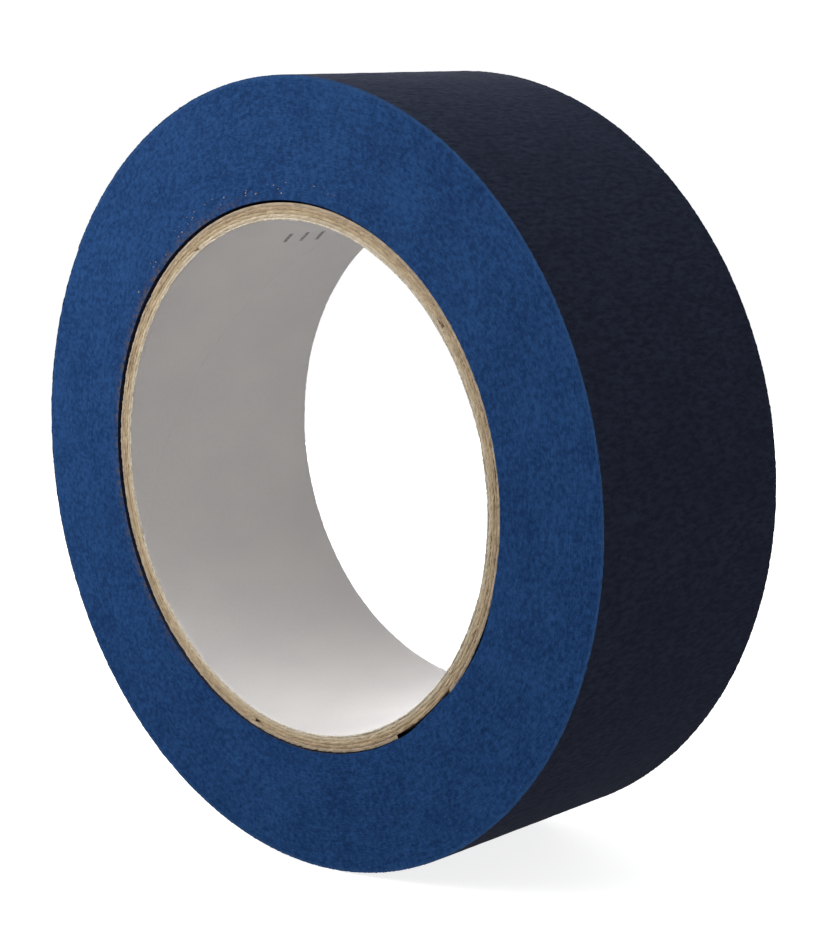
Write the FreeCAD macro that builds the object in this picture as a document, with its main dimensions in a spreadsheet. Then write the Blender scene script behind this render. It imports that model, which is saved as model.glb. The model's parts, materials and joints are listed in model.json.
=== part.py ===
import FreeCAD, Part
import os
from math import cos, radians, sin
import Sketcher
from FreeCAD import Placement, Rotation, Vector

# A roll of crepe paper masking tape on a spiral-wound cardboard core, standing on its rim.
# Millimetres and degrees. The origin is the middle of the core's bore, +Y runs along the bore
# from the front side face to the back one, and +Z is up. Angles round the roll are counted from
# +X towards +Z, which is counter-clockwise for somebody in front of the roll.

SIZES = {
    "TapeWidth": 38.0,          # width of the strip, and so of the roll
    "TapeThickness": 0.115,     # crepe paper with its adhesive
    "RollDiameter": 117.5,      # over the tip of the free end
    "BoreDiameter": 76.2,       # the standard three-inch core
    "LinerThickness": 0.3,
    "PlyThickness": 0.55,
    "CoreRecess": 0.2,          # the core's ends lie this deep behind the side faces
    "SeamPitch": 120.0,         # travel along the bore of one turn of a helical seam
    "PlySeamWidth": 0.8,        # gap along the bore between the edges of a kraft strip
    "OuterPlySeamWidth": 6.6,
    "InnerPlySeamAngle": 118.0,  # where each strip's seam reaches the front end
    "SecondPlySeamAngle": 36.0,
    "ThirdPlySeamAngle": 252.0,
    "OuterPlySeamAngle": 306.0,
    "CoreGap": 0.6,             # widest part of the crescent between the core and the windings
    "CoreGapAngle": 165.0,
    "TipAngle": 143.0,          # where the free end's cut edge lies
    "TabAngle": 25.0,           # part of a turn that the free end covers
    "TabLift": 0.08,            # room under the free end
    "TabRootGap": 0.3,          # room between the free end and the turn that it continues
}

# The four kraft strips of the core from the inside out: name, seam angle, seam width.
KRAFT_PLIES = [
    ("core_inner_ply", "InnerPlySeamAngle", "PlySeamWidth"),
    ("core_second_ply", "SecondPlySeamAngle", "PlySeamWidth"),
    ("core_third_ply", "ThirdPlySeamAngle", "PlySeamWidth"),
    ("core_outer_ply", "OuterPlySeamAngle", "OuterPlySeamWidth"),
]

BORE_RADIUS = "Sizes.BoreDiameter / 2"
KRAFT_RADIUS = f"({BORE_RADIUS} + Sizes.LinerThickness)"
CORE_RADIUS = f"({KRAFT_RADIUS} + {len(KRAFT_PLIES)} * Sizes.PlyThickness)"
CORE_WIDTH = "(Sizes.TapeWidth - 2 * Sizes.CoreRecess)"
# The windings' surface climbs by one thickness in a turn. Two half circles whose centres lie a
# quarter of a thickness either side of the axis make that spiral, with no kink where they meet.
STEP_RADIUS = "(Sizes.RollDiameter / 2 - 2 * Sizes.TapeThickness - Sizes.TabLift)"
FIRST_HALF_RADIUS = f"({STEP_RADIUS} + Sizes.TapeThickness / 4)"
SECOND_HALF_RADIUS = f"({STEP_RADIUS} + 3 * Sizes.TapeThickness / 4)"
HALF_OFFSET = "Sizes.TapeThickness / 4"
ROOT_ANGLE = "(360 - Sizes.TabAngle)"
TAB_START_ANGLE = f"({ROOT_ANGLE} + 360 * Sizes.TabRootGap / (pi * Sizes.RollDiameter))"
AXIS = Vector(0, 1, 0)
SKETCH_NORMAL = Vector(0, 0, 1)
SEAM_MARGIN = 2.0               # length of a seam's cutter beyond each end of the core
FIRST_RADIUS = SIZES["BoreDiameter"] / 2  # of a new circle, until the sheet sets its size

doc = FreeCAD.newDocument("MaskingTapeRoll")


def make_sheet():
    sheet = doc.addObject("Spreadsheet::Sheet", "Sizes")
    for row, (alias, value) in enumerate(SIZES.items(), start=1):
        sheet.set(f"A{row}", alias)
        sheet.set(f"B{row}", str(value))
        sheet.setAlias(f"B{row}", alias)
    doc.recompute()


def make_body(name):
    body = doc.addObject("PartDesign::Body", name)
    body.Label = name
    return body


def origin_feature(body, role):
    return next(item for item in body.Origin.OriginFeatures if item.Role == role)


def make_sketch(body, name, plane):
    sketch = body.newObject("Sketcher::SketchObject", name)
    sketch.AttachmentSupport = [(origin_feature(body, plane), "")]
    sketch.MapMode = "FlatFace"
    return sketch


def bind(sketch, name, expression, kind, *where):
    """Add a dimension to the sketch, its first value last in where, and bind it to the sheet."""
    sketch.renameConstraint(sketch.addConstraint(Sketcher.Constraint(kind, *where)), name)
    sketch.setExpression(f"Constraints.{name}", expression)


def centred_circle(sketch, name, radius):
    circle = sketch.addGeometry(Part.Circle(Vector(), SKETCH_NORMAL, FIRST_RADIUS), False)
    sketch.addConstraint(Sketcher.Constraint("Coincident", circle, 3, -1, 1))
    bind(sketch, name, radius, "Radius", circle, FIRST_RADIUS)


def pad_across(body, sketch, width):
    """Pad a sketch of the side view by the same amount to the front and to the back."""
    pad = body.newObject("PartDesign::Pad", sketch.Name + "Pad")
    pad.Profile = sketch
    pad.Midplane = True
    pad.setExpression("Length", width)
    sketch.Visibility = False
    return pad


def turn_about_axis(body, degrees):
    """Turn a body so that what it has at +X goes to the given angle round the roll."""
    body.Placement = Placement(Vector(), Rotation(AXIS, 1))
    body.setExpression(".Placement.Rotation.Angle", f"-({degrees})")


def tube(name, inner, thickness):
    """One layer of the core as a whole tube. The liner stays so: its strip's edges overlap."""
    body = make_body(name)
    ring = make_sketch(body, name + "_ring", "XZ_Plane")
    centred_circle(ring, "Inner", inner)
    centred_circle(ring, "Outer", f"{inner} + {thickness}")
    pad_across(body, ring, CORE_WIDTH)
    doc.recompute()
    return body


def seam(body, inner, thickness, angle, width):
    """Cut a layer open along the gap between the edges of its helical strip."""
    whole = body.Shape.Volume
    name = body.Label
    cutter = make_sketch(body, name + "_seam", "XY_Plane")
    low = Vector(FIRST_RADIUS, -SIZES["TapeWidth"])
    high = Vector(SIZES["RollDiameter"] / 2, -SIZES["TapeWidth"] / 2)
    corners = [low, Vector(high.x, low.y), high, Vector(low.x, high.y)]
    for start, end in zip(corners, corners[1:] + corners[:1]):
        cutter.addGeometry(Part.LineSegment(start, end), False)
    for edge in range(4):
        cutter.addConstraint(Sketcher.Constraint("Coincident", edge, 2, (edge + 1) % 4, 1))
        cutter.addConstraint(Sketcher.Constraint("Vertical" if edge % 2 else "Horizontal", edge))
    start_below = f"{CORE_WIDTH} / 2 + {width} + {SEAM_MARGIN}"
    bind(cutter, "Near", f"{inner} - {thickness}", "DistanceX", -1, 1, 0, 1, low.x)
    bind(cutter, "Depth", f"3 * {thickness}", "DistanceX", 0, 1, 0, 2, high.x - low.x)
    bind(cutter, "Width", width, "DistanceY", 1, 1, 1, 2, high.y - low.y)
    bind(cutter, "Start", start_below, "DistanceY", 0, 1, -1, 1, -low.y)

    cut = body.newObject("PartDesign::SubtractiveHelix", name + "_cut")
    cut.Profile = cutter
    cut.ReferenceAxis = (cutter, ["V_Axis"])
    cut.Mode = "pitch-height-angle"
    cut.LeftHanded = False
    cut.setExpression("Pitch", "Sizes.SeamPitch")
    cut.setExpression("Height", f"{CORE_WIDTH} + {width} + {2 * SEAM_MARGIN}")
    cutter.Visibility = False
    # The seam reaches the front end a little after the cutter's start, by this part of a turn.
    lead = f"360 * ({width} / 2 + {SEAM_MARGIN}) / Sizes.SeamPitch"
    turn_about_axis(body, f"{angle} + {lead}")
    doc.recompute()
    if not 0 < body.Shape.Volume < whole:
        raise RuntimeError(f"the seam of {name} cuts nothing")


def half_turn(sketch, name, side, start, end, guess):
    """An arc of the winding spiral, from start to end in degrees, its centre beside the axis."""
    offset = side * SIZES["TapeThickness"] / 4
    circle = Part.Circle(Vector(offset, 0), SKETCH_NORMAL, guess)
    arc = sketch.addGeometry(Part.ArcOfCircle(circle, radians(start), radians(end)), False)
    sketch.addConstraint(Sketcher.Constraint("PointOnObject", arc, 3, -1))
    span = (-1, 1, arc, 3) if side > 0 else (arc, 3, -1, 1)
    bind(sketch, name + "Offset", HALF_OFFSET, "DistanceX", *span, abs(offset))
    return arc


def on_axis(sketch, arc, end):
    sketch.addConstraint(Sketcher.Constraint("PointOnObject", arc, end, -1))


def joined(sketch, first, first_end, second, second_end):
    where = (first, first_end, second, second_end)
    sketch.addConstraint(Sketcher.Constraint("Coincident", *where))


def edge_between(sketch, first, first_end, second, second_end):
    """Close an outline with a straight edge between the ends of two arcs."""
    start = sketch.getPoint(first, first_end)
    end = sketch.getPoint(second, second_end)
    edge = sketch.addGeometry(Part.LineSegment(start, end), False)
    joined(sketch, edge, 1, first, first_end)
    joined(sketch, edge, 2, second, second_end)


def ray(sketch, name, angle, guess):
    """A construction line from the axis at an angle, for the cut ends of a strip to lie on."""
    length = SIZES["RollDiameter"] / 2
    tip = Vector(cos(radians(guess)), sin(radians(guess))) * length
    line = sketch.addGeometry(Part.LineSegment(Vector(), tip), True)
    joined(sketch, line, 1, -1, 1)
    bind(sketch, name + "Length", "Sizes.RollDiameter / 2", "Distance", line, length)
    bind(sketch, name, angle, "Angle", -1, 1, line, 1, radians(guess))
    return line


def spiral(sketch, name, layers, last_angle):
    """The windings' surface, raised by some layers, from the step to last_angle in degrees."""
    guess = SIZES["RollDiameter"] / 2 + layers * SIZES["TapeThickness"]
    extra = f"{layers} * Sizes.TapeThickness"
    first = half_turn(sketch, name + "First", -1, 0, 180, guess)
    second = half_turn(sketch, name + "Second", 1, 180, last_angle, guess)
    bind(sketch, name + "Radius", f"{FIRST_HALF_RADIUS} + {extra}", "Radius", first, guess)
    on_axis(sketch, first, 1)
    on_axis(sketch, first, 2)
    joined(sketch, first, 2, second, 1)
    return first, second


def through_hole(body, name, across, up):
    """A hole for the core, its centre off the axis by across and up."""
    sketch = make_sketch(body, name, "XZ_Plane")
    offset = SIZES["CoreGap"]
    middle = Vector(offset, offset)
    circle = sketch.addGeometry(Part.Circle(middle, SKETCH_NORMAL, FIRST_RADIUS), False)
    bind(sketch, "Across", across, "DistanceX", -1, 1, circle, 3, offset)
    bind(sketch, "Up", up, "DistanceY", -1, 1, circle, 3, offset)
    bind(sketch, "Radius", CORE_RADIUS, "Radius", circle, FIRST_RADIUS)
    hole = body.newObject("PartDesign::Pocket", name + "_cut")
    hole.Profile = sketch
    hole.Type = "ThroughAll"
    hole.Midplane = True
    sketch.Visibility = False


def tape_windings():
    """All turns under the last one, which act as one solid, round a slightly oval hole."""
    body = make_body("tape_windings")
    outline = make_sketch(body, "windings_outline", "XZ_Plane")
    first, second = spiral(outline, "Surface", 0, 360)
    on_axis(outline, second, 2)
    edge_between(outline, second, 2, first, 1)
    pad_across(body, outline, "Sizes.TapeWidth")
    gap_angle = "(Sizes.CoreGapAngle - Sizes.TipAngle)"
    through_hole(body, "core_hole", "0", "0")
    across = f"Sizes.CoreGap * cos({gap_angle})"
    up = f"Sizes.CoreGap * sin({gap_angle})"
    through_hole(body, "crescent_hole", across, up)
    turn_about_axis(body, "Sizes.TipAngle")


def outer_turn():
    """The last turn of the strip as far as the root of the free end."""
    body = make_body("outer_turn")
    outline = make_sketch(body, "turn_outline", "XZ_Plane")
    last_angle = 360 - SIZES["TabAngle"]
    root = ray(outline, "Root", ROOT_ANGLE, last_angle)
    inside, inside_end = spiral(outline, "Inside", 0, last_angle)
    outside, outside_end = spiral(outline, "Outside", 1, last_angle)
    for arc in (inside_end, outside_end):
        outline.addConstraint(Sketcher.Constraint("PointOnObject", arc, 2, root))
    edge_between(outline, inside, 1, outside, 1)
    edge_between(outline, inside_end, 2, outside_end, 2)
    pad_across(body, outline, "Sizes.TapeWidth")
    turn_about_axis(body, "Sizes.TipAngle")


def free_end():
    """The loose end of the strip, from the root's gap to the cut edge."""
    body = make_body("free_end")
    outline = make_sketch(body, "tab_outline", "XZ_Plane")
    start_angle = 360 - SIZES["TabAngle"]
    root = ray(outline, "Root", TAB_START_ANGLE, start_angle)
    sides = []
    for layers, name in enumerate(("Under", "Top")):
        guess = SIZES["RollDiameter"] / 2 + layers * SIZES["TapeThickness"]
        arc = half_turn(outline, name, 1, start_angle, 360, guess)
        radius = f"{SECOND_HALF_RADIUS} + Sizes.TabLift + {layers} * Sizes.TapeThickness"
        bind(outline, name + "Radius", radius, "Radius", arc, guess)
        outline.addConstraint(Sketcher.Constraint("PointOnObject", arc, 1, root))
        on_axis(outline, arc, 2)
        sides.append(arc)
    edge_between(outline, sides[0], 1, sides[1], 1)
    edge_between(outline, sides[0], 2, sides[1], 2)
    pad_across(body, outline, "Sizes.TapeWidth")
    turn_about_axis(body, "Sizes.TipAngle")


def check_document():
    """Stop before anything is written if the document or a sub-part is faulty."""
    doc.recompute()
    for item in doc.Objects:
        if {"Invalid", "Error"} & set(item.State):
            raise RuntimeError(f"{item.Label} is {item.State}")
    bodies = [item for item in doc.Objects if item.TypeId == "PartDesign::Body"]
    for body in bodies:
        if body.Shape.isNull() or not body.Shape.isValid() or len(body.Shape.Solids) != 1:
            raise RuntimeError(f"{body.Label} is not one valid solid")
    return bodies


def write_parts(bodies):
    os.makedirs("parts", exist_ok=True)
    for body in bodies:
        body.Shape.exportStep(f"parts/{body.Label}.step")
        box = body.Shape.BoundBox
        size = f"{box.XLength:.2f} x {box.YLength:.2f} x {box.ZLength:.2f} mm"
        print(f"{body.Label:18} {size}  {body.Shape.Volume:.1f} mm3")


make_sheet()
tube("bore_liner", BORE_RADIUS, "Sizes.LinerThickness")
for count, (ply, seam_angle, seam_width) in enumerate(KRAFT_PLIES):
    ply_radius = f"({KRAFT_RADIUS} + {count} * Sizes.PlyThickness)"
    strip = tube(ply, ply_radius, "Sizes.PlyThickness")
    seam(strip, ply_radius, "Sizes.PlyThickness", f"Sizes.{seam_angle}", f"Sizes.{seam_width}")
tape_windings()
outer_turn()
free_end()
write_parts(check_document())
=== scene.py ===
import json
import math

import bpy
import numpy as np
from mathutils import Matrix, Vector


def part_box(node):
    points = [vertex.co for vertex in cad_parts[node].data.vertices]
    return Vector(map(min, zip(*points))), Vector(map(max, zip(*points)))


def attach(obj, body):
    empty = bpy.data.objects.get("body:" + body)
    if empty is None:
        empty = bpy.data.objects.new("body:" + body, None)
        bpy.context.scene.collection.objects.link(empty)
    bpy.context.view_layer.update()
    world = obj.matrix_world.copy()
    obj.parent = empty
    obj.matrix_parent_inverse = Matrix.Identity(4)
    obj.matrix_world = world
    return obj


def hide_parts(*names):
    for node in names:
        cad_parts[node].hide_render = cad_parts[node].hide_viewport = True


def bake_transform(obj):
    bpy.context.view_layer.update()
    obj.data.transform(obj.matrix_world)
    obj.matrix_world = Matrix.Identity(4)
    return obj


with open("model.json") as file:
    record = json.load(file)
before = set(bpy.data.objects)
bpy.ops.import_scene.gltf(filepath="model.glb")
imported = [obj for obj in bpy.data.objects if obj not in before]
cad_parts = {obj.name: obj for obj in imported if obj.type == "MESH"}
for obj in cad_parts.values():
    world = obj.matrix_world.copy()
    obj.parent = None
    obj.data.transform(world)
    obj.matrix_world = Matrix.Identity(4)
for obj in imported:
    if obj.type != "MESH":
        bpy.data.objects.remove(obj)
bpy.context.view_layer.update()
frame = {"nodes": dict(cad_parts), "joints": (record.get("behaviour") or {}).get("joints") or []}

# A roll of crepe paper masking tape in the CAD frame: metres, +Y along the bore from the front
# side face to the back one, +Z up. Angles round the roll are in degrees from +X towards +Z.

MM = 0.001


def polar(node):
    """Angles and radii of a CAD node's corners round the bore's axis."""
    corners = np.array([v.co for v in frame["nodes"][node].data.vertices])
    angles = np.degrees(np.arctan2(corners[:, 2], corners[:, 0]))
    return angles, np.hypot(corners[:, 0], corners[:, 2])


# Places from the frame.
HALF_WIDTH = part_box("tape_windings")[1].y
CORE_HALF_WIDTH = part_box("bore_liner")[1].y
TAB_ANGLES, TAB_RADII = polar("free_end")
TIP_ANGLE = TAB_ANGLES.max()
ROLL_RADIUS = TAB_RADII.max()
TAPE = ROLL_RADIUS - TAB_RADII[TAB_ANGLES > TIP_ANGLE - 0.01].min()
STEP_RADIUS = polar("outer_turn")[1].min()
HOLE_ANGLES, HOLE_RADII = polar("tape_windings")
CORE_RADIUS = HOLE_RADII.min()
HOLE = HOLE_RADII < CORE_RADIUS + 2 * MM
CRESCENT = HOLE_RADII[HOLE].max() - CORE_RADIUS
CRESCENT_ANGLE = HOLE_ANGLES[HOLE][HOLE_RADII[HOLE].argmax()]
OUTER_PLY = np.ptp(polar("core_outer_ply")[1])
PEEL = next(joint for joint in frame["joints"] if joint["name"] == "tape_end_peel")
ROOT_ANGLE = math.degrees(math.atan2(PEEL["pos_m"][2], PEEL["pos_m"][0]))

# The tape.
CREPE_WAVE = (0.95 * MM, 3 * MM)  # wrinkles: from one to the next, and their length
CREPE_HEIGHT = 0.019 * MM
CREPE_LIMIT = 2.5               # times CREPE_HEIGHT, the tallest wrinkle
SIDE_RELIEF = 0.03 * MM         # of the turns' edges on the side faces
EDGE_RELIEF = 0.02 * MM         # of the last turn's own edges
TURN_STEP = 0.27 * MM           # of the last turn's mesh, along it
END_STEP = 0.12 * MM            # of the free end's mesh
STRIP_ROWS = 36
JOIN = 0.01                     # degrees either side of the step in the windings' spiral
END_ROOM = 0.012 * MM           # under the free end, at its root
END_LIFT = 0.05 * MM            # more, under its tip
HOLE_TAPER = 0.6                # of the half width, where the hole closes on the core

# The core.
SEAM_PITCH = 120 * MM           # travel along the bore of one turn of a core strip's seam
OPEN_SEAM = 306                 # angle of the open seam of the core's outer strip, at the front
OPEN_GAP = 6.6 * MM             # along the bore
OPEN_EDGE = 180 * OPEN_GAP / SEAM_PITCH  # degrees from its middle to its edges
SEAM_GAP = 0.8 * MM
PLIES = [                       # node, name of its board, seam angle and seam gap
    ("core_inner_ply", "inner", 118, SEAM_GAP),
    ("core_second_ply", "second", 36, SEAM_GAP),
    ("core_third_ply", "third", 252, SEAM_GAP),
    ("core_outer_ply", "outer", OPEN_SEAM, OPEN_GAP),
]
DIP_SHARE = 0.75                # of the outer strip's thickness
DIP_ENDS = (2 - OPEN_EDGE, 1, 5, OPEN_EDGE)  # degrees: it starts, is whole, turns back, ends
BRIDGE_START = 12               # degrees past the middle of the open seam
BRIDGE_REACH = 22               # degrees
BRIDGE_GAP = 0.42 * MM
LINER_SEAM = 196.5
LINER_OVERLAP = 0.07 * MM       # height of the liner's overlapping edge
OVERLAP_FADE = 14               # degrees
END_ROUNDING = 0.07 * MM
END_ROUGHNESS = 0.035 * MM
END_SHIFT = 0.04 * MM           # keeps the rounded ends within the core's width
FIBRE_WIDTH = (0.012 * MM, 0.024 * MM)
FIBRE_LENGTH = (0.25 * MM, 0.75 * MM)
SPECK_COUNT = 34
SPECK_ANGLES = (72, 140)
SPECK_REACH = (1.3 * MM, 3.6 * MM)  # from the core
SPECK_SIZE = (0.05 * MM, 0.15 * MM)

# The printed mark.
TICK_ANGLE = 113.5
TICK_REACH = 2.4                # degrees either way
TICK_START = -2.6 * MM
TICK_GAP = 3.4 * MM
TICK_SLANT = 0.5 * MM
TICK_WIDTH = 0.75 * MM
TICK_DEPTH = (-0.015 * MM, 0.03 * MM)

# Camera: the photograph's viewing angle, with the roll filling most of the frame.
AZIMUTH = 44.85
ELEVATION = 7.46
CAMERA_ROLL = -3.99
DISTANCE = 5.56 * ROLL_RADIUS   # from the point aimed at
AIM_RIGHT = 0.2986 * ROLL_RADIUS  # of the middle of the front side face
AIM_UP = 0.0214 * ROLL_RADIUS
LENS = 84.9                     # millimetres, as Blender's lenses are
SENSOR = 36

# Light and stage.
WORLD_LIGHT = 0.23
LAMPS = [                       # name, place, size and power
    ("top_light", (-0.05, -0.12, 0.6), 0.55, 0.57),
    ("key_light", (-0.15, -0.2, 0.16), 0.24, 0.83),
    ("back_light", (-0.25, 0.45, 0.03), 0.4, 1.6),
]
STAGE_GLOW = 0.82               # keeps the floor and wall white behind a dark roll
STAGE_WHITE = (0.92, 0.92, 0.92)
FLOOR_RADII = (0.0001, 0.3, 1.5)  # rings of the flat floor, the last one where the wall starts
WALL_CURVE = 0.7
WALL_HEIGHT = 2.2
CURVE_STEPS = 12
STAGE_SIDES = 96

SHARP_ANGLE = 50                # degrees between faces, above which an edge is drawn sharp


# ---------------------------------------------------------------- meshes

def direction(angle):
    """Unit vectors [.., 3] across the bore at these angles."""
    turn = np.radians(angle)
    return np.stack([np.cos(turn), np.zeros_like(turn), np.sin(turn)], axis=-1)


def at(radius, angle, y):
    """Points [.., 3] at a radius and an angle round the axis and at y along it."""
    radius, angle, y = np.broadcast_arrays(radius, angle, y)
    points = direction(angle) * radius[..., None]
    points[..., 1] = y
    return points


def grain(shape, steps, waves, seed, banded=False):
    """Random relief of unit spread on a grid, without a seam. steps are the grid's spacings and
    waves the relief's typical lengths; banded relief repeats at about waves[0], as ridges do."""
    noise = np.random.default_rng(seed).standard_normal(shape)
    first = np.abs(np.fft.fftfreq(shape[0], steps[0]))[:, None] * waves[0]
    second = np.abs(np.fft.fftfreq(shape[1], steps[1]))[None, :] * waves[1]
    gain = np.exp(-2 * (first - 1) ** 2) if banded else np.exp(-first**2 / 2)
    gain = gain * np.exp(-second**2 / 2)
    gain[0, 0] = 0
    relief = np.fft.ifft2(np.fft.fft2(noise) * gain).real
    return relief / relief.std()


def quads(grid):
    """Four-cornered faces over a grid of vertex numbers."""
    corners = [grid[:-1, :-1], grid[1:, :-1], grid[1:, 1:], grid[:-1, 1:]]
    return np.stack(corners, axis=-1).reshape(-1, 4)


def flat_object(name, corners, faces, materials):
    """A mesh with flat faces, in the scene."""
    mesh = bpy.data.meshes.new(name)
    mesh.from_pydata(corners, [], faces)
    for material in materials:
        mesh.materials.append(material)
    piece = bpy.data.objects.new(name, mesh)
    bpy.context.scene.collection.objects.link(piece)
    return piece


def smooth_object(name, corners, faces, materials):
    """A mesh with rounded shading, from arrays of corners and faces."""
    piece = flat_object(name, corners.tolist(), faces.tolist(), materials)
    piece.data.shade_smooth()
    piece.data.set_sharp_from_angle(angle=math.radians(SHARP_ANGLE))
    return piece


def shell(name, points, materials, closed=False):
    """A closed mesh over the outside of a block of points [along, across, through, xyz].
    materials are those of the underside, the top, both edges, and the ends if there are any."""
    count = np.arange(points[..., 0].size).reshape(points.shape[:3])
    if closed:
        count = np.concatenate([count, count[:1]])
    sides = [
        (count[:, :, 0], 0, False),
        (count[:, :, -1], 1, True),
        (count[:, 0, :], 2, True),
        (count[:, -1, :], 2, False),
    ]
    if not closed:
        sides += [(count[0, :, :], 3, False), (count[-1, :, :], 3, True)]
    faces, slots = [], []
    for grid, slot, turned in sides:
        side = quads(grid)
        faces.append(side[:, ::-1] if turned else side)
        slots.append(np.full(len(side), slot))
    faces, slots = np.concatenate(faces), np.concatenate(slots)
    used, faces = np.unique(faces, return_inverse=True)
    corners = points.reshape(-1, 3)[used]
    faces = faces.reshape(-1, 4)
    a, b, c, d = (corners[faces[:, k]] for k in range(4))
    volume = (np.cross(b - a, c - a) * a).sum() + (np.cross(c - a, d - a) * a).sum()
    if volume < 0:
        faces = faces[:, ::-1]
    piece = smooth_object(name, corners, faces, materials)
    piece.data.polygons.foreach_set("material_index", slots.astype(np.int32))
    return piece


# ---------------------------------------------------------------- materials

class Paint:
    """A material whose nodes are added one after another, ending in its own shader."""

    def __init__(self, name, roughness, specular):
        self.material = bpy.data.materials.new(name)
        self.material.use_nodes = True
        self.tree = self.material.node_tree
        self.shader = self.tree.nodes["Principled BSDF"]
        self.shader.inputs["Roughness"].default_value = roughness
        self.shader.inputs["Specular IOR Level"].default_value = specular

    def set(self, socket, value):
        if isinstance(value, bpy.types.NodeSocket):
            self.tree.links.new(value, socket)
        else:
            socket.default_value = value

    def node(self, kind, inputs, **settings):
        node = self.tree.nodes.new(kind)
        for key, value in settings.items():
            setattr(node, key, value)
        for key, value in inputs.items():
            self.set(node.inputs[key], value)
        return node

    def place(self, scale=(1, 1, 1)):
        """The point's own place in metres, stretched by scale."""
        spot = self.node("ShaderNodeTexCoord", {}).outputs["Object"]
        return self.vector("MULTIPLY", spot, scale)

    def vector(self, operation, a, b=(0, 0, 0)):
        node = self.node("ShaderNodeVectorMath", {0: a, 1: b}, operation=operation)
        return node.outputs["Value" if operation in ("LENGTH", "DOT_PRODUCT") else "Vector"]

    def maths(self, operation, a, b=0.0):
        return self.node("ShaderNodeMath", {0: a, 1: b}, operation=operation).outputs[0]

    def noise(self, place, size, detail=2.0, roughness=0.5):
        inputs = {"Vector": place, "Scale": 1 / size, "Detail": detail, "Roughness": roughness}
        return self.node("ShaderNodeTexNoise", inputs).outputs["Fac"]

    def spread(self, value, low, high, to_low=0.0, to_high=1.0):
        """value from low to high, moved smoothly to the range from to_low to to_high."""
        inputs = {"Value": value, "From Min": low, "From Max": high}
        inputs.update({"To Min": to_low, "To Max": to_high})
        node = self.node("ShaderNodeMapRange", inputs, interpolation_type="SMOOTHSTEP")
        return node.outputs["Result"]

    def mix(self, share, first, second):
        first = (*first, 1) if isinstance(first, tuple) else first
        second = (*second, 1) if isinstance(second, tuple) else second
        inputs = {"Factor": share, 6: first, 7: second}
        return self.node("ShaderNodeMix", inputs, data_type="RGBA").outputs[2]

    def total(self, *parts):
        """The sum of values, each times its share."""
        first, *rest = (self.maths("MULTIPLY", value, share) for value, share in parts)
        for part in rest:
            first = self.maths("ADD", first, part)
        return first

    def finish(self, colour, height, depth):
        """The material, with this base colour and a bump depth metres deep."""
        self.set(self.shader.inputs["Base Color"], colour)
        bump = self.node("ShaderNodeBump", {"Height": height, "Distance": depth, "Strength": 1.0})
        self.set(self.shader.inputs["Normal"], bump.outputs["Normal"])
        return self.material


def around_turns(paint, size, reach):
    """A noise place with features size across the turns and reach degrees along them."""
    flat = paint.place((1, 0, 1))
    around = paint.vector("MULTIPLY", paint.vector("NORMALIZE", flat), (1 / math.radians(reach),) * 3)
    outwards = paint.maths("MULTIPLY", paint.vector("LENGTH", flat), 1 / size)
    lift = paint.node("ShaderNodeCombineXYZ", {"Y": outwards}).outputs[0]
    return paint.vector("ADD", around, lift)


RIM_DARK = (0.027, 0.034, 0.066)
RIM_LIGHT = (0.051, 0.065, 0.118)
RIM_SPECK = (0.072, 0.089, 0.145)
SIDE_DARK = (0.0045, 0.032, 0.120)
SIDE_LIGHT = (0.0190, 0.077, 0.233)
SIDE_EDGE_HIGHLIGHT = (0.035, 0.100, 0.25)
EDGE_HIGHLIGHT_WIDTH = 0.5 * MM           # of the paler band along the side's outer edge, a painted highlight
EDGE_HIGHLIGHT_SHARE = 0.45
RESIDUE = (0.12, 0.085, 0.06)
GLUE_REACH = (0.5 * MM, 2.2 * MM)  # from the core, where the glue thins out and ends
GLUE_TURN = -5                  # degrees from the crescent's widest place
GLUE_SHARE = 0.75
STICKY_DARK = (0.05, 0.11, 0.25)
STICKY_LIGHT = (0.09, 0.17, 0.34)
KRAFT = {                       # dark and light colour and blot size of each strip of board
    "inner": ((0.52, 0.42, 0.29), (0.74, 0.63, 0.47), 1.1 * MM),
    "second": ((0.41, 0.31, 0.19), (0.65, 0.515, 0.34), 1.7 * MM),
    "third": ((0.36, 0.26, 0.16), (0.60, 0.46, 0.305), 1.3 * MM),
    "outer": ((0.365, 0.28, 0.19), (0.60, 0.48, 0.345), 2.1 * MM),
}
LINER_GREY = (0.83, 0.80, 0.795)
LINER_WHITE = (0.89, 0.865, 0.85)
LINER_EDGE_DARK = (0.58, 0.50, 0.38)
LINER_EDGE_LIGHT = (0.80, 0.73, 0.61)
INK = (0.27, 0.26, 0.25)


def crepe_rim():
    """The tape's back: nearly black blue crepe paper, its wrinkles across the strip."""
    paint = Paint("crepe_rim", roughness=0.8, specular=0.12)
    wrinkle = paint.noise(paint.place((1, 0.4, 1)), size=0.6 * MM, detail=3.0, roughness=0.6)
    fibre = paint.noise(paint.place((1, 0.8, 1)), size=0.25 * MM)
    patch = paint.noise(paint.place(), size=7 * MM)
    # The colour follows the wrinkles, darker in their hollows: painted shade in the creases, over the
    # back's own tone.
    colour = paint.mix(paint.spread(wrinkle, low=0.3, high=0.7), RIM_DARK, RIM_LIGHT)
    colour = paint.mix(paint.spread(fibre, low=0.62, high=0.78), colour, RIM_SPECK)
    colour = paint.mix(paint.spread(patch, low=0.3, high=0.7, to_high=0.3), colour, RIM_DARK)
    height = paint.total((wrinkle, 1), (fibre, 0.4))
    return paint.finish(colour, height, depth=0.08 * MM)


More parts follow.
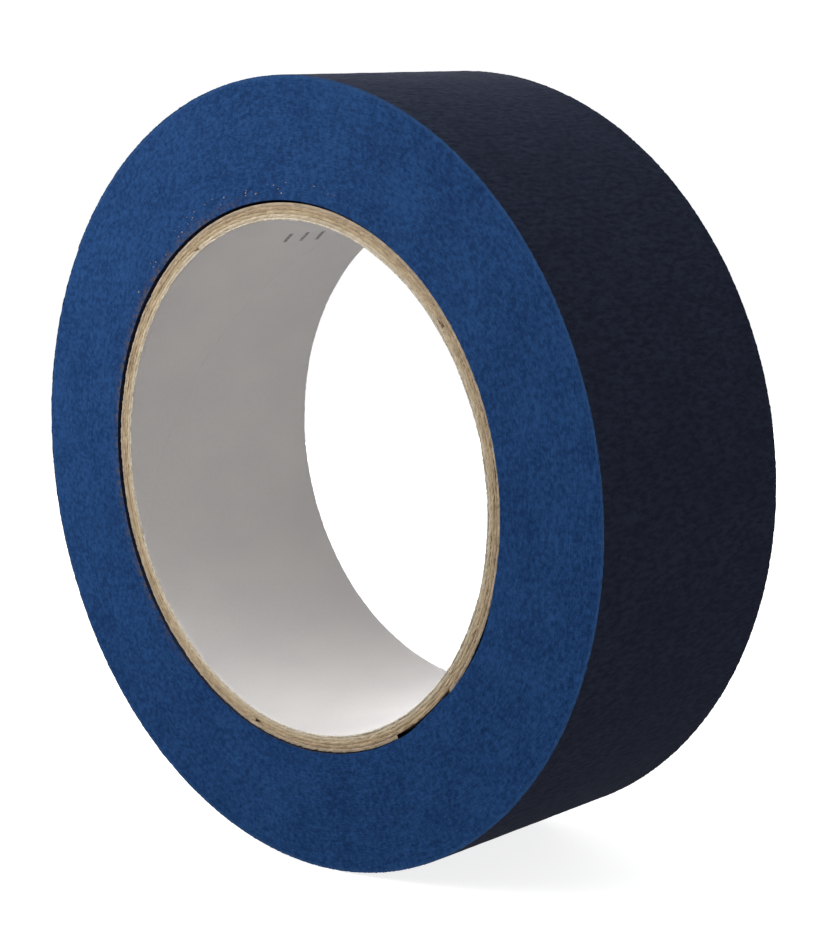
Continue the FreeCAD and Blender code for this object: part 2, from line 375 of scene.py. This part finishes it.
def tape_side():
    """The cut edges of the turns: mid-blue, mottled, with a painted highlight along the outer edge
    and a trace of glue round the core.
    """
    paint = Paint("tape_side", roughness=0.85, specular=0.12)
    turn = paint.noise(around_turns(paint, size=0.2 * MM, reach=1.2), size=1.0)
    mottle = paint.noise(paint.place(), size=0.62 * MM, detail=3.0, roughness=0.7)
    cloud = paint.noise(paint.place(), size=7 * MM)
    value = paint.total((turn, 0.3), (mottle, 0.55), (cloud, 0.15))
    colour = paint.mix(paint.spread(value, low=0.36, high=0.64), SIDE_DARK, SIDE_LIGHT)
    flat = paint.place((1, 0, 1))
    radius = paint.vector("LENGTH", flat)
    # A paler band along the side's outer edge: painted highlight where the turns' edges catch the
    # light.
    wear_and_highlight = paint.spread(radius, low=STEP_RADIUS - EDGE_HIGHLIGHT_WIDTH, high=STEP_RADIUS, to_high=EDGE_HIGHLIGHT_SHARE)
    colour = paint.mix(wear_and_highlight, colour, SIDE_EDGE_HIGHLIGHT)
    near, far = (CORE_RADIUS + reach for reach in GLUE_REACH)
    beside_core = paint.spread(radius, low=near, high=far, to_low=1.0, to_high=0.0)
    glue_way = tuple(direction(CRESCENT_ANGLE + GLUE_TURN))
    facing = paint.vector("DOT_PRODUCT", paint.vector("NORMALIZE", flat), glue_way)
    facing = paint.spread(facing, low=0.3, high=0.75)
    blot = paint.noise(paint.place(), size=0.9 * MM, detail=3.0)
    share = paint.maths("MULTIPLY", beside_core, facing)
    share = paint.maths("MULTIPLY", share, paint.spread(blot, low=0.42, high=0.62))
    share = paint.maths("MULTIPLY", share, GLUE_SHARE)
    colour = paint.mix(share, colour, RESIDUE)
    height = paint.total((turn, 0.7), (mottle, 1))
    return paint.finish(colour, height, depth=0.08 * MM)


def kraft(name):
    """Tan board, fibrous, its grain along the strip."""
    dark, light, size = KRAFT[name]
    paint = Paint("kraft_" + name, roughness=0.85, specular=0.15)
    along = around_turns(paint, size=0.12 * MM, reach=1.6)
    fibre = paint.noise(along, size=1.0, detail=3.0, roughness=0.65)
    blot = paint.noise(paint.place(), size=size, detail=3.0)
    value = paint.total((fibre, 0.5), (blot, 0.5))
    colour = paint.mix(paint.spread(value, low=0.33, high=0.67), dark, light)
    return paint.finish(colour, fibre, depth=0.08 * MM)


def liner_paper():
    """Smooth white paper, a little cloudy."""
    paint = Paint("liner_paper", roughness=0.5, specular=0.35)
    cloud = paint.noise(paint.place((1, 0.6, 1)), size=11 * MM)
    fibre = paint.noise(paint.place(), size=0.35 * MM, detail=3.0, roughness=0.6)
    value = paint.total((cloud, 0.6), (fibre, 0.4))
    colour = paint.mix(paint.spread(value, low=0.32, high=0.68), LINER_GREY, LINER_WHITE)
    return paint.finish(colour, fibre, depth=0.02 * MM)


def liner_edge():
    """The white paper's cut edge, cream where its fibres are bare."""
    paint = Paint("liner_edge", roughness=0.8, specular=0.15)
    fibre = paint.noise(paint.place(), size=0.45 * MM, detail=3.0, roughness=0.65)
    share = paint.spread(fibre, low=0.35, high=0.65)
    colour = paint.mix(share, LINER_EDGE_DARK, LINER_EDGE_LIGHT)
    return paint.finish(colour, fibre, depth=0.04 * MM)


def adhesive():
    """The strip's sticky side: a pale blue-grey film with a soft gloss."""
    paint = Paint("adhesive", roughness=0.38, specular=0.5)
    film = paint.noise(paint.place((1, 0.3, 1)), size=1.2 * MM, detail=3.0)
    colour = paint.mix(paint.spread(film, low=0.35, high=0.65), STICKY_DARK, STICKY_LIGHT)
    return paint.finish(colour, film, depth=0.04 * MM)


def ink():
    """Grey print, worn through to the paper in spots."""
    paint = Paint("ink", roughness=0.7, specular=0.2)
    wear_and_highlight = paint.noise(paint.place(), size=0.3 * MM)
    colour = paint.mix(paint.spread(wear_and_highlight, low=0.45, high=0.75), INK, LINER_GREY)
    return paint.finish(colour, wear_and_highlight, depth=0.005 * MM)


# ---------------------------------------------------------------- the tape

def surface_radius(angle):
    """Outer radius of the windings under the last turn, which climbs by one thickness a turn."""
    return STEP_RADIUS + TAPE * (np.mod(angle - TIP_ANGLE, 360) / 360)


def seam_angle(seam, y):
    """Angle at y of a seam of the core, from its angle at the front end."""
    return seam - 360 * (y + CORE_HALF_WIDTH) / SEAM_PITCH


def ramp(value, start, end):
    """0 before start, 1 after end and a smooth rise between them."""
    share = np.clip((value - start) / (end - start), 0, 1)
    return share * share * (3 - 2 * share)


def hole_radius(angle, y):
    """Radius of the hole in the windings. It stands off the core in a crescent, and where it
    doesn't, it dips into the open seam of the core's outer strip and rises again past it."""
    stand_off = (1 + np.cos(np.radians(angle - CRESCENT_ANGLE))) / 2
    past = (angle - seam_angle(OPEN_SEAM, y) + 180) % 360 - 180
    start, whole, back, end = DIP_ENDS
    dip = DIP_SHARE * OUTER_PLY * (1 - stand_off)
    dip = dip * ramp(past, start, whole) * ramp(-past, -end, -back)
    bridge = np.sin(math.pi * np.clip((past - BRIDGE_START) / BRIDGE_REACH, 0, 1))
    return CORE_RADIUS + CRESCENT * stand_off + BRIDGE_GAP * bridge - dip


def windings(rim, side):
    """All turns under the last one, with the uneven edges of the turns on both side faces."""
    columns, rings = 720, 62
    angle = TIP_ANGLE + JOIN + np.linspace(0, 360 - 2 * JOIN, columns)[:, None, None]
    place = np.array([-1, -HOLE_TAPER, 0, HOLE_TAPER, 1])[None, :, None]
    y = HALF_WIDTH * place
    share = np.linspace(0, 1, rings)[None, None, :]
    inner = np.where(np.abs(place) == 1, hole_radius(angle, y), CORE_RADIUS)
    outer = surface_radius(angle)
    points = at(inner + (outer - inner) * share, angle, y)
    steps = (2 * math.pi * ROLL_RADIUS / columns, (STEP_RADIUS - CORE_RADIUS) / rings)
    for row, inward, seed in ((0, 1, 11), (-1, -1, 12)):
        turns = grain((columns, rings), steps, (30 * MM, 0.9 * MM), seed)
        swell = grain((columns, rings), steps, (45 * MM, 9 * MM), seed + 10)
        pits = grain((columns, rings), steps, (1.1 * MM, 0.8 * MM), seed + 20)
        relief = 0.3 * turns + 0.7 * swell + 0.8 * pits
        points[:, row, :, 1] += inward * SIDE_RELIEF * (1 + relief)
    # The hole's wall takes the tape's dark back so the crescent gap reads black: painted shade.
    piece = shell("windings_pack", points, [rim, rim, side], closed=True)
    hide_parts("tape_windings")
    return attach(piece, "roll")


def crepe_strip(name, start, end, step, seed, under_radius, materials):
    """A stretch of the strip itself, with its wrinkles, from a start to an end angle."""
    columns = int(math.radians(end - start) * ROLL_RADIUS / step) + 1
    angle = np.linspace(start, end, columns)
    y = np.linspace(-HALF_WIDTH, HALF_WIDTH, STRIP_ROWS)
    across = 2 * HALF_WIDTH / (STRIP_ROWS - 1)
    wrinkles = grain((columns, STRIP_ROWS), (step, across), CREPE_WAVE, seed, banded=True)
    soft = grain((columns, STRIP_ROWS), (step, across), (3 * MM, 6 * MM), seed + 1)
    height = CREPE_HEIGHT * np.clip(wrinkles + 0.6 * soft, -CREPE_LIMIT, CREPE_LIMIT)
    under = under_radius(angle)[:, None] + 0 * y[None, :]
    top = under + TAPE + height
    radius = np.stack([under, top], axis=-1)
    edge = grain((columns, 2), (step, 1.0), (1.2 * MM, 1.0), seed + 2)
    along_bore = np.broadcast_to(y[None, :], under.shape).copy()
    along_bore[:, 0] += EDGE_RELIEF * edge[:, 0]
    along_bore[:, -1] += EDGE_RELIEF * edge[:, 1]
    points = at(radius, angle[:, None, None], along_bore[:, :, None])
    return shell(name, points, materials)


def outer_turn(rim, side):
    """The last whole turn, from the step over the end of the windings to the free end's root."""
    start = TIP_ANGLE - 360

    def under(angle):
        return surface_radius(np.maximum(angle, start + JOIN))

    faces = [rim, rim, side, side]
    piece = crepe_strip("outer_turn_crepe", start, ROOT_ANGLE, TURN_STEP, 21, under, faces)
    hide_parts("outer_turn")
    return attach(piece, "roll")


def free_end(rim, side, glue):
    """The loose end, which lies on the roll, lifting a little towards its tip."""

    def under(angle):
        share = (angle - ROOT_ANGLE) / (TIP_ANGLE - ROOT_ANGLE)
        lift = END_ROOM + END_LIFT * share**3
        return surface_radius(np.minimum(angle, TIP_ANGLE - JOIN)) + lift

    faces = [glue, rim, side, side]
    piece = crepe_strip("free_end_crepe", ROOT_ANGLE, TIP_ANGLE, END_STEP, 31, under, faces)
    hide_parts("free_end")
    root = at(surface_radius(ROOT_ANGLE) + TAPE, ROOT_ANGLE, 0.0)
    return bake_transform(piece)


# ---------------------------------------------------------------- the core

def wound_strip(name, node, seam, gap, materials, rows, seed, step_in=0.0):
    """One strip of the core, its columns along its helical seam. Where its edges have no gap
    between them, the inside of one stands step_in out of the other."""
    inner, outer = polar(node)[1].min(), polar(node)[1].max()
    columns, layers = 900, 5
    closed = gap == 0
    span = 360 * (1 - gap / SEAM_PITCH)
    around = np.linspace(0, 1, columns, endpoint=not closed)[:, None, None]
    y = np.linspace(-CORE_HALF_WIDTH, CORE_HALF_WIDTH, rows)[None, :, None]
    through = np.linspace(0, 1, layers)[None, None, :]
    angle = seam_angle(seam, y) + (360 - span) / 2 + span * around
    overlap = step_in * np.exp(-around * 360 / OVERLAP_FADE)
    radius = inner - overlap * (1 - through) + (outer - inner) * through
    y = np.broadcast_to(y, (columns, rows, layers)).copy()
    arc = 2 * math.pi * inner / columns
    bulge = END_ROUNDING * np.sqrt(np.clip(1 - (2 * through[0, 0] - 1) ** 2, 0, 1))
    for row, sign in ((0, -1), (-1, 1)):
        rough = grain((columns, layers), (arc, 0.14 * MM), (0.7 * MM, 0.2 * MM), seed)
        wave = grain((columns, 2), (arc, 1.0), (9 * MM, 1.0), seed + 1)[:, :1]
        y[:, row, :] += sign * (bulge - END_SHIFT + END_ROUGHNESS * (rough + 0.8 * wave))
        seed += 2
    points = at(radius, angle, y)
    piece = shell(name, points, materials, closed=closed)
    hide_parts(node)
    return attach(piece, "roll")


def core(board, liner, cut, painted_gap_shade):
    """The liner and the kraft strips. The outer strip's outside takes the tape's dark back: painted
    shade for the gap between the core and the windings.
    """
    faces = [liner, liner, cut]
    sleeve = wound_strip("liner_sleeve", "bore_liner", LINER_SEAM, 0, faces, 44, 41, LINER_OVERLAP)
    for number, (node, name, seam, gap) in enumerate(PLIES):
        # The outer strip's outside is painted dark, as shade in the gap round the core.
        outside = painted_gap_shade if name == "outer" else board[name]
        faces = [board[name], outside, board[name], board[name]]
        seed = 51 + 10 * number
        piece = wound_strip(node + "_board", node, seam, gap, faces, 24, seed)


def tube_mesh(name, lines, material):
    """Thin fibres: each a line of points with a radius, three-sided and pointed at its end."""
    corners, faces = [], []
    for line, thick in lines:
        first = len(corners)
        heading = (line[-1] - line[0]).normalized()
        side = heading.orthogonal().normalized()
        other = heading.cross(side)
        for spot in line[:-1]:
            for turn in range(3):
                a = math.radians(120 * turn)
                corners.append(spot + (side * math.cos(a) + other * math.sin(a)) * thick)
        corners.append(line[-1])
        tip = len(corners) - 1
        rings = len(line) - 1
        for ring in range(rings - 1):
            for turn in range(3):
                a = first + 3 * ring + turn
                b = first + 3 * ring + (turn + 1) % 3
                faces.append((a, b, b + 3, a + 3))
        last = first + 3 * (rings - 1)
        faces += [(last + turn, last + (turn + 1) % 3, tip) for turn in range(3)]
        faces.append((first + 2, first + 1, first))
    piece = flat_object(name, corners, faces, [material])
    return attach(piece, "roll")


def fuzz(name, material, count, radii, angles, seed):
    """Short paper fibres that stand out of the core's two cut ends."""
    rng = np.random.default_rng(seed)
    lines = []
    for _ in range(count):
        end = -1 if rng.random() < 0.6 else 1
        angle = rng.uniform(*angles)
        outward = Vector(direction(angle))
        along = Vector(direction(angle + 90))
        base = outward * rng.uniform(*radii)
        base.y = end * (CORE_HALF_WIDTH - 0.1 * MM)
        lean = outward * rng.normal(-0.35, 0.5) + along * rng.normal(0, 0.7)
        heading = (Vector((0, end, 0)) + lean).normalized()
        curl = along * rng.normal(0, 0.3) + outward * rng.normal(-0.1, 0.3)
        length = rng.uniform(*FIBRE_LENGTH)
        line = [base + (heading + curl * share) * length * share for share in (0, 0.35, 0.7, 1)]
        lines.append((line, rng.uniform(*FIBRE_WIDTH)))
    return tube_mesh(name, lines, material)


def specks(material, seed=71):
    """Chips of board dust stuck to the front side face beside the core."""
    rng = np.random.default_rng(seed)
    corners, faces = [], []
    for _ in range(SPECK_COUNT):
        angle = rng.uniform(*SPECK_ANGLES)
        reach = CORE_RADIUS + rng.uniform(*SPECK_REACH)
        size = rng.uniform(*SPECK_SIZE)
        outward, along = direction(angle), direction(angle + 90)
        sides = int(rng.integers(5, 8))
        first = len(corners)
        stretch = rng.uniform(0.5, 1.0)
        ring = []
        for side in range(sides):
            a = 2 * math.pi * side / sides
            r = size * rng.uniform(0.7, 1.2)
            ring.append(outward * (reach + r * stretch * math.cos(a)) + along * r * math.sin(a))
        for y in (-HALF_WIDTH - 0.03 * MM, -HALF_WIDTH + 0.1 * MM):
            for spot in ring:
                corners.append((spot[0], y, spot[2]))
        faces.append(tuple(first + k for k in range(sides)))
        faces.append(tuple(first + 2 * sides - 1 - k for k in range(sides)))
        for k in range(sides):
            a, b = first + k, first + (k + 1) % sides
            faces.append((b, a, a + sides, b + sides))
    piece = flat_object("board_specks", corners, faces, [material])
    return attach(piece, "roll")


def ink_ticks(material):
    """A generic printed mark in the bore: three short ticks."""
    radius = polar("bore_liner")[1].min()
    depth = np.array(TICK_DEPTH)[None, None, :]
    for number in range(3):
        around = np.linspace(-1, 1, 12)[:, None, None]
        y = TICK_START + number * TICK_GAP + TICK_SLANT * around
        across = y + np.array([-0.5, 0, 0.5])[None, :, None] * TICK_WIDTH
        angle = TICK_ANGLE + TICK_REACH * around
        piece = shell(f"ink_tick_{number + 1}", at(radius + depth, angle, across), [material] * 4)
        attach(piece, "roll")


# ---------------------------------------------------------------- stage, light and camera

def studio_sweep():
    """A round white floor that curves up into a wall."""
    floor = -ROLL_RADIUS
    edge = FLOOR_RADII[-1]
    turn = np.radians(np.linspace(0, 90, CURVE_STEPS + 1)[1:])
    curved = edge + WALL_CURVE * np.sin(turn)
    radii = np.concatenate([FLOOR_RADII, curved, [edge + WALL_CURVE]])
    rise = np.concatenate([[0] * len(FLOOR_RADII), WALL_CURVE * (1 - np.cos(turn)), [WALL_HEIGHT]])
    around = np.linspace(0, 360, STAGE_SIDES + 1)[:-1]
    points = at(radii[:, None], around[None, :], 0.0)[..., [0, 2, 1]]
    points[..., 2] = floor + rise[:, None]
    count = np.arange(points[..., 0].size).reshape(points.shape[:2])
    faces = quads(np.concatenate([count, count[:, :1]], axis=1))
    paint = Paint("studio_white", roughness=0.9, specular=0.1)
    paint.shader.inputs["Base Color"].default_value = (*STAGE_WHITE, 1)
    paint.shader.inputs["Emission Color"].default_value = (1, 1, 1, 1)
    paint.shader.inputs["Emission Strength"].default_value = STAGE_GLOW
    sweep = smooth_object("studio_sweep", points.reshape(-1, 3), faces, [paint.material])
    sweep.visible_diffuse = False
    sweep.visible_glossy = False
    sweep.visible_shadow = False


def soft_light(name, place, size, power):
    """A square lamp that faces the roll."""
    lamp = bpy.data.lights.new(name, "AREA")
    lamp.size = size
    lamp.energy = power
    light = bpy.data.objects.new(name, lamp)
    light.location = place
    light.rotation_euler = (-Vector(place)).to_track_quat("-Z", "Y").to_euler()
    bpy.context.scene.collection.objects.link(light)


def lighting():
    """An even white surround and three soft lamps: above, at the front left and behind."""
    scene = bpy.context.scene
    scene.view_settings.view_transform = "Standard"
    world = bpy.data.worlds.new("studio_air")
    world.use_nodes = True
    world.node_tree.nodes["Background"].inputs["Strength"].default_value = WORLD_LIGHT
    world.node_tree.nodes["Background"].inputs["Color"].default_value = (1, 1, 1, 1)
    scene.world = world
    for name, place, size, power in LAMPS:
        soft_light(name, place, size, power)


def camera():
    """The camera at the photograph's place round the roll."""
    azimuth, elevation = math.radians(AZIMUTH), math.radians(ELEVATION)
    back = Vector((
        math.sin(azimuth) * math.cos(elevation),
        -math.cos(azimuth) * math.cos(elevation),
        math.sin(elevation),
    ))
    level = Vector((math.cos(azimuth), math.sin(azimuth), 0))
    tilt = Matrix.Rotation(math.radians(CAMERA_ROLL), 3, back)
    right = tilt @ level
    up = tilt @ back.cross(level)
    target = Vector((0, -HALF_WIDTH, 0)) + right * AIM_RIGHT + up * AIM_UP
    lens = bpy.data.cameras.new("photo_camera")
    lens.lens = LENS
    lens.sensor_width = SENSOR
    lens.clip_start, lens.clip_end = 0.02, 20
    view = bpy.data.objects.new("photo_camera", lens)
    turned = Matrix((right, up, back)).transposed().to_4x4()
    view.matrix_world = Matrix.Translation(target + back * DISTANCE) @ turned
    bpy.context.scene.collection.objects.link(view)
    bpy.context.scene.camera = view


def main():
    rim, side, liner, cut = crepe_rim(), tape_side(), liner_paper(), liner_edge()
    board = {name: kraft(name) for name in KRAFT}
    windings(rim, side)
    outer_turn(rim, side)
    free_end(rim, side, adhesive())
    core(board, liner, cut, rim)
    in_liner = (CORE_RADIUS - 2.45 * MM, CORE_RADIUS - 2.2 * MM)
    in_board = (CORE_RADIUS - 2.1 * MM, CORE_RADIUS - 0.1 * MM)
    fuzz("liner_fuzz", cut, 90, in_liner, (120, 300), seed=61)
    fuzz("board_fuzz", board["inner"], 110, in_board, (0, 360), seed=62)
    specks(board["third"])
    ink_ticks(ink())
    studio_sweep()
    lighting()
    camera()


main()
